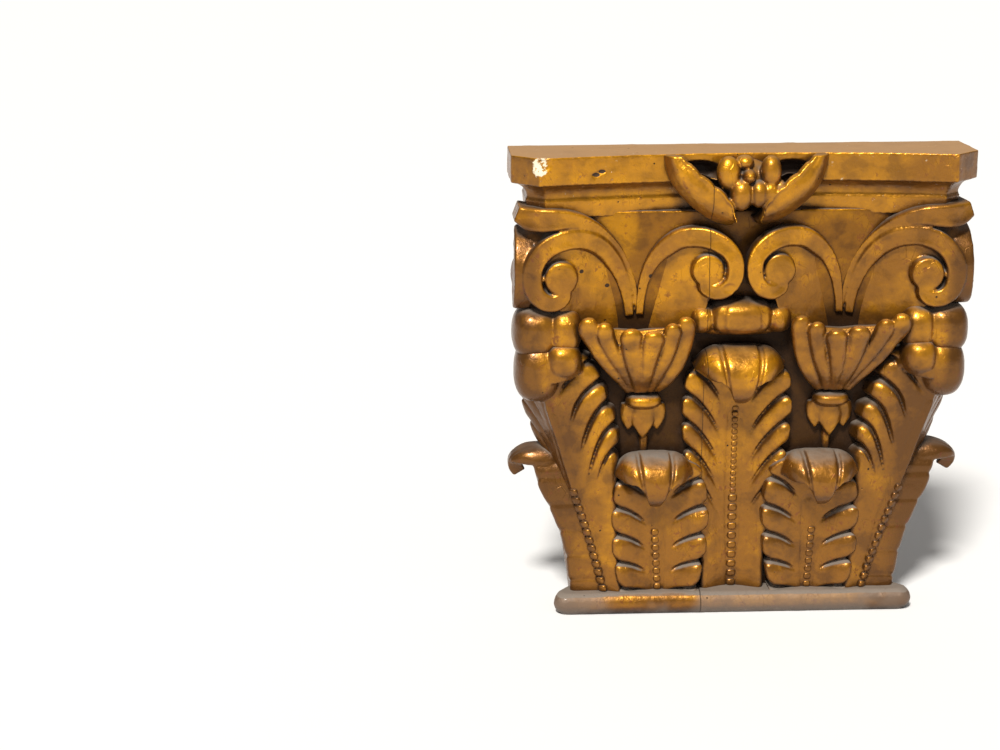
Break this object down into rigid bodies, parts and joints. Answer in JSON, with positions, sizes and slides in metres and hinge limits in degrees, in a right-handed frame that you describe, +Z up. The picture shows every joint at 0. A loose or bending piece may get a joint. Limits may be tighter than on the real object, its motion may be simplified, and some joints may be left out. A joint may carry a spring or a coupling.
{
  "type": "pilaster capital",
  "caption": "Carved and gilded Corinthian pilaster capital with a moulded abacus, corner scrolls, acanthus leaves and a flower, flat at the back.",
  "frame": {"origin": "middle of the flat underside, where the capital stands", "axes": "+Z up, +Y back towards the wall, so the carved face looks along -Y, +X to the right seen from the front"},
  "size_m": [0.3764, 0.0806, 0.39],
  "materials": {
    "aged_gold_leaf": "worn water gilding over red-brown bole and gesso, toned and dusty"
  },
  "bodies": {
    "root": {"capital": "aged_gold_leaf"}
  },
  "joints": []
}
